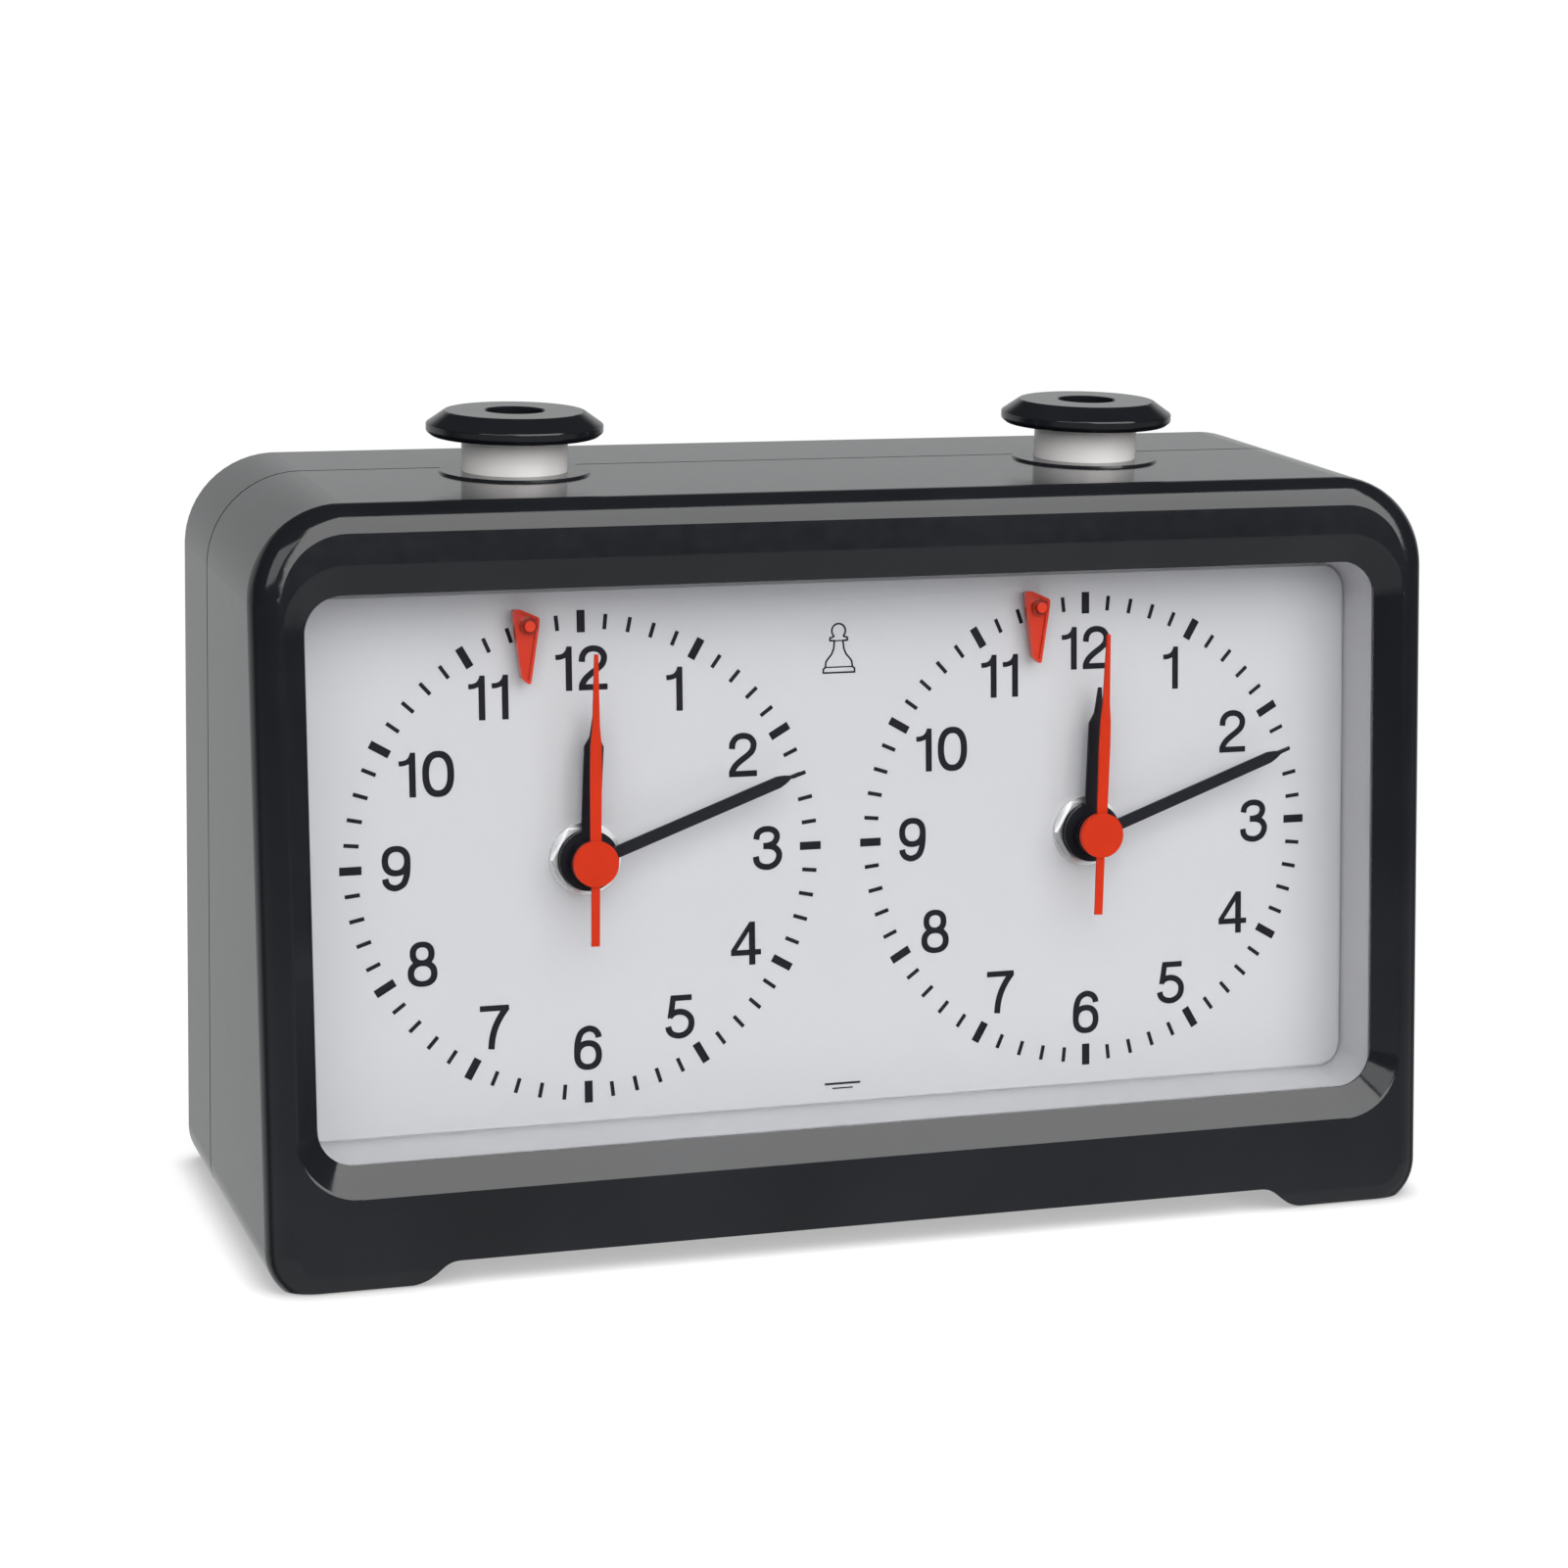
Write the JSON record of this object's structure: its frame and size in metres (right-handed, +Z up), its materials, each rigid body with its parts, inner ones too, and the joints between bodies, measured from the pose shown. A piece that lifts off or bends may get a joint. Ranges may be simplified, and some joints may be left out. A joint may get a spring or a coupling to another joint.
{
  "type": "analogue chess clock",
  "caption": "Two-dial quartz chess clock: wedge case, two round-capped push buttons on a rocker, and on each dial hour, minute and second hands and a red flag.",
  "frame": {"origin": "on the table under the middle of the clock's width and depth", "axes": "+Z up, +X to the right seen from the front, the dials face -Y and lean back 4.3 degrees"},
  "size_m": [0.165, 0.0666, 0.111],
  "materials": {
    "board_green": "solder mask",
    "cell_sleeve": "printed sleeve",
    "clear_window": "clear",
    "coil_copper": "enamelled copper",
    "collar_black": "glossy",
    "contact_metal": "nickel plated",
    "dial_white": "printed, matte",
    "flag_red": "glossy",
    "gear_brass": "stamped",
    "gear_natural": "natural acetal",
    "gloss_black": "polished",
    "hand_black": "satin black",
    "hand_red": "satin orange-red",
    "knob_black": "moulded",
    "magnet_grey": "ferrite with pinion",
    "movement_black": "moulded",
    "nut_steel": "nickel plated",
    "screw_steel": "zinc plated",
    "stator_steel": "stamped",
    "stem_white": "glossy",
    "tray_white": "satin"
  },
  "bodies": {
    "case": {"front_casing": "gloss_black", "rear_cover": "gloss_black", "battery_door": "gloss_black", "case_screws": "screw_steel", "dial_tray": "tray_white", "dial_plate": "dial_white", "window_lens": "clear_window", "tray_screws": "screw_steel", "flag_pins": "flag_red", "button_collars": "collar_black", "rocker_pin": "screw_steel", "rocker_bracket": "movement_black", "switch_contacts": "contact_metal", "dial_nuts": "nut_steel", "battery_contacts": "contact_metal", "wheel_posts": "screw_steel", "movement_case_left": "movement_black", "movement_cover_left": "movement_black", "battery_left": "cell_sleeve", "coil_left": "coil_copper", "stator_left": "stator_steel", "circuit_board_left": "board_green", "movement_case_right": "movement_black", "movement_cover_right": "movement_black", "battery_right": "cell_sleeve", "coil_right": "coil_copper", "stator_right": "stator_steel", "circuit_board_right": "board_green"},
    "rocker": {"rocker": "movement_black"},
    "button_left": {"button_cap_left": "gloss_black", "button_stem_left": "stem_white"},
    "intermediate_left": {"intermediate_wheel_left": "gear_natural"},
    "rotor_left": {"rotor_left": "magnet_grey"},
    "seconds_left": {"seconds_wheel_left": "gear_natural", "second_hand_left": "hand_red"},
    "third_left": {"third_wheel_left": "gear_natural"},
    "centre_left": {"centre_wheel_left": "gear_natural"},
    "minute_left": {"minute_cannon_left": "gear_brass", "minute_hand_left": "hand_black"},
    "motion_left": {"motion_wheel_left": "gear_natural"},
    "hour_left": {"hour_wheel_left": "gear_natural", "hour_hand_left": "hand_black"},
    "set_knob_left": {"set_knob_left": "knob_black"},
    "flag_left": {"flag_left": "flag_red"},
    "button_right": {"button_cap_right": "gloss_black", "button_stem_right": "stem_white"},
    "intermediate_right": {"intermediate_wheel_right": "gear_natural"},
    "rotor_right": {"rotor_right": "magnet_grey"},
    "seconds_right": {"seconds_wheel_right": "gear_natural", "second_hand_right": "hand_red"},
    "third_right": {"third_wheel_right": "gear_natural"},
    "centre_right": {"centre_wheel_right": "gear_natural"},
    "minute_right": {"minute_cannon_right": "gear_brass", "minute_hand_right": "hand_black"},
    "motion_right": {"motion_wheel_right": "gear_natural"},
    "hour_right": {"hour_wheel_right": "gear_natural", "hour_hand_right": "hand_black"},
    "set_knob_right": {"set_knob_right": "knob_black"},
    "flag_right": {"flag_right": "flag_red"}
  },
  "joints": [
    {"name": "rocker_tilt", "type": "hinge", "parent": "case", "child": "rocker", "pos_m": [0, 0.00122, 0.08638], "axis": [0, 0.9996, 0.0286], "range_deg": [-4.05, 4.05]},
    {"name": "button_left_slide", "type": "slide", "parent": "case", "child": "button_left", "axis": [0, -0.0286, 0.9996], "range_m": [-0.00302, 0.00302]},
    {"name": "intermediate_spin_left", "type": "hinge", "parent": "case", "child": "intermediate_left", "pos_m": [-0.02798, -0.01634, 0.05364], "axis": [0, 0.9972, -0.075], "continuous": true},
    {"name": "rotor_spin_left", "type": "hinge", "parent": "case", "child": "rotor_left", "pos_m": [-0.02258, -0.01586, 0.06005], "axis": [0, 0.9972, -0.075], "continuous": true},
    {"name": "seconds_turn_left", "type": "hinge", "parent": "case", "child": "seconds_left", "pos_m": [-0.03625, -0.01645, 0.05218], "axis": [0, 0.9972, -0.075], "continuous": true},
    {"name": "third_turn_left", "type": "hinge", "parent": "case", "child": "third_left", "pos_m": [-0.0463, -0.01632, 0.05395], "axis": [0, 0.9972, -0.075], "continuous": true},
    {"name": "centre_turn_left", "type": "hinge", "parent": "case", "child": "centre_left", "pos_m": [-0.03625, -0.01645, 0.05218], "axis": [0, 0.9972, -0.075], "continuous": true},
    {"name": "minute_turn_left", "type": "hinge", "parent": "case", "child": "minute_left", "pos_m": [-0.03625, -0.01645, 0.05218], "axis": [0, 0.9972, -0.075], "continuous": true},
    {"name": "motion_turn_left", "type": "hinge", "parent": "case", "child": "motion_left", "pos_m": [-0.03625, -0.016, 0.05816], "axis": [0, 0.9972, -0.075], "continuous": true},
    {"name": "hour_turn_left", "type": "hinge", "parent": "case", "child": "hour_left", "pos_m": [-0.03625, -0.01645, 0.05218], "axis": [0, 0.9972, -0.075], "continuous": true},
    {"name": "set_knob_turn_left", "type": "hinge", "parent": "case", "child": "set_knob_left", "pos_m": [-0.03625, -0.01555, 0.06415], "axis": [0, 0.9972, -0.075], "continuous": true},
    {"name": "flag_lift_left", "type": "hinge", "parent": "case", "child": "flag_left", "pos_m": [-0.044, -0.01407, 0.08379], "axis": [0, 0.9972, -0.075], "range_deg": [-75, 0]},
    {"name": "button_right_slide", "type": "slide", "parent": "case", "child": "button_right", "axis": [0, -0.0286, 0.9996], "range_m": [-0.00302, 0.00302]},
    {"name": "intermediate_spin_right", "type": "hinge", "parent": "case", "child": "intermediate_right", "pos_m": [0.04452, -0.01634, 0.05364], "axis": [0, 0.9972, -0.075], "continuous": true},
    {"name": "rotor_spin_right", "type": "hinge", "parent": "case", "child": "rotor_right", "pos_m": [0.04992, -0.01586, 0.06005], "axis": [0, 0.9972, -0.075], "continuous": true},
    {"name": "seconds_turn_right", "type": "hinge", "parent": "case", "child": "seconds_right", "pos_m": [0.03625, -0.01645, 0.05218], "axis": [0, 0.9972, -0.075], "continuous": true},
    {"name": "third_turn_right", "type": "hinge", "parent": "case", "child": "third_right", "pos_m": [0.0262, -0.01632, 0.05395], "axis": [0, 0.9972, -0.075], "continuous": true},
    {"name": "centre_turn_right", "type": "hinge", "parent": "case", "child": "centre_right", "pos_m": [0.03625, -0.01645, 0.05218], "axis": [0, 0.9972, -0.075], "continuous": true},
    {"name": "minute_turn_right", "type": "hinge", "parent": "case", "child": "minute_right", "pos_m": [0.03625, -0.01645, 0.05218], "axis": [0, 0.9972, -0.075], "continuous": true},
    {"name": "motion_turn_right", "type": "hinge", "parent": "case", "child": "motion_right", "pos_m": [0.03625, -0.016, 0.05816], "axis": [0, 0.9972, -0.075], "continuous": true},
    {"name": "hour_turn_right", "type": "hinge", "parent": "case", "child": "hour_right", "pos_m": [0.03625, -0.01645, 0.05218], "axis": [0, 0.9972, -0.075], "continuous": true},
    {"name": "set_knob_turn_right", "type": "hinge", "parent": "case", "child": "set_knob_right", "pos_m": [0.03625, -0.01555, 0.06415], "axis": [0, 0.9972, -0.075], "continuous": true},
    {"name": "flag_lift_right", "type": "hinge", "parent": "case", "child": "flag_right", "pos_m": [0.0285, -0.01407, 0.08379], "axis": [0, 0.9972, -0.075], "range_deg": [-75, 0]}
  ],
  "couplings": [
    {"joint": "button_left_slide", "follows": "rocker_tilt", "m_per_rad": 0.0416},
    {"joint": "rotor_spin_left", "follows": "intermediate_spin_left", "ratio": -6},
    {"joint": "seconds_turn_left", "follows": "intermediate_spin_left", "ratio": -0.2},
    {"joint": "third_turn_left", "follows": "intermediate_spin_left", "ratio": 0.026667},
    {"joint": "centre_turn_left", "follows": "intermediate_spin_left", "ratio": -0.0033333},
    {"joint": "motion_turn_left", "follows": "minute_turn_left", "ratio": -0.33333},
    {"joint": "hour_turn_left", "follows": "minute_turn_left", "ratio": 0.083333},
    {"joint": "set_knob_turn_left", "follows": "minute_turn_left", "ratio": 1},
    {"joint": "button_right_slide", "follows": "rocker_tilt", "m_per_rad": -0.0416},
    {"joint": "rotor_spin_right", "follows": "intermediate_spin_right", "ratio": -6},
    {"joint": "seconds_turn_right", "follows": "intermediate_spin_right", "ratio": -0.2},
    {"joint": "third_turn_right", "follows": "intermediate_spin_right", "ratio": 0.026667},
    {"joint": "centre_turn_right", "follows": "intermediate_spin_right", "ratio": -0.0033333},
    {"joint": "motion_turn_right", "follows": "minute_turn_right", "ratio": -0.33333},
    {"joint": "hour_turn_right", "follows": "minute_turn_right", "ratio": 0.083333},
    {"joint": "set_knob_turn_right", "follows": "minute_turn_right", "ratio": 1}
  ]
}
